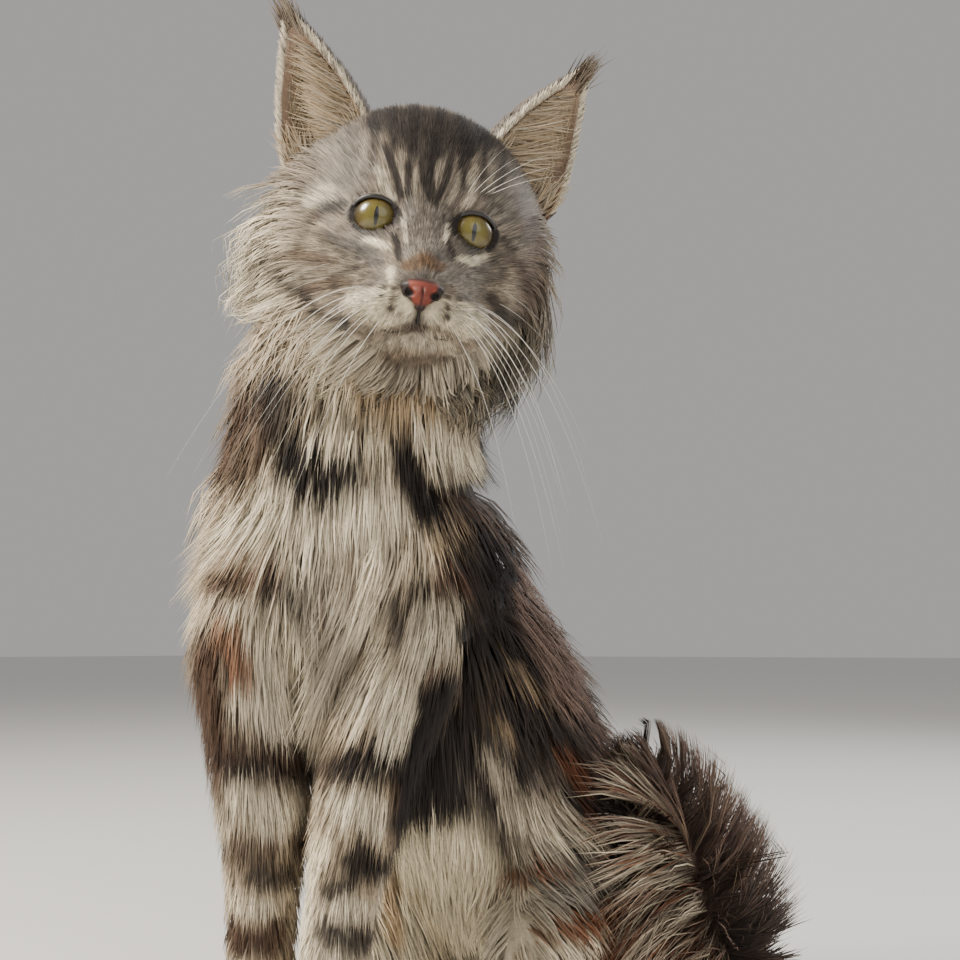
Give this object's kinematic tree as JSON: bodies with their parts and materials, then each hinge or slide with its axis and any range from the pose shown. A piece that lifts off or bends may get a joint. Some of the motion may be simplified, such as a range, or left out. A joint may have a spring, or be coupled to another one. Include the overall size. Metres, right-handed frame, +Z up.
{
  "type": "maine coon cat",
  "caption": "Life-size still model of a long-haired tabby Maine Coon cat sitting upright in a harness, head turned, ruff and plumed tail.",
  "frame": {"origin": "on the floor, under the middle of the cat's box", "axes": "+Z up from the floor, -Y the way the hips face, +X towards the cat's left side"},
  "size_m": [0.2794, 0.4266, 0.5655],
  "materials": {
    "body_coat": "long silver-brown tabby fur, soft and matt",
    "face_coat": "short silver tabby fur with cream muzzle and dark stripes",
    "ear_coat": "thin fur over pink skin, cream inside",
    "leg_coat": "dense fur with dark bracelets and cream paws",
    "tail_coat": "very long plume of grey-brown, cream and rust hair",
    "eye": "wet, clear cornea over a yellow-green iris",
    "nose_leather": "moist brick-red leather with a black edge",
    "webbing": "flat black woven webbing",
    "ring_steel": "bright steel"
  },
  "bodies": {
    "root": {"eye_left": "eye", "eye_right": "eye", "nose": "nose_leather", "harness_collar": "webbing", "harness_girth": "webbing", "harness_back_strap": "webbing", "harness_ring": "ring_steel", "head": "face_coat", "ear_left": "ear_coat", "ear_right": "ear_coat", "torso": "body_coat", "neck": "body_coat", "forepaw_left": "leg_coat", "forepaw_right": "leg_coat", "foreleg_left": "leg_coat", "foreleg_right": "leg_coat", "hindpaw_left": "leg_coat", "hindpaw_right": "leg_coat", "hindfoot_left": "leg_coat", "hindfoot_right": "leg_coat", "haunch_left": "body_coat", "haunch_right": "body_coat", "tail_root": "tail_coat", "tail_middle": "tail_coat", "tail_end": "tail_coat"}
  },
  "joints": []
}
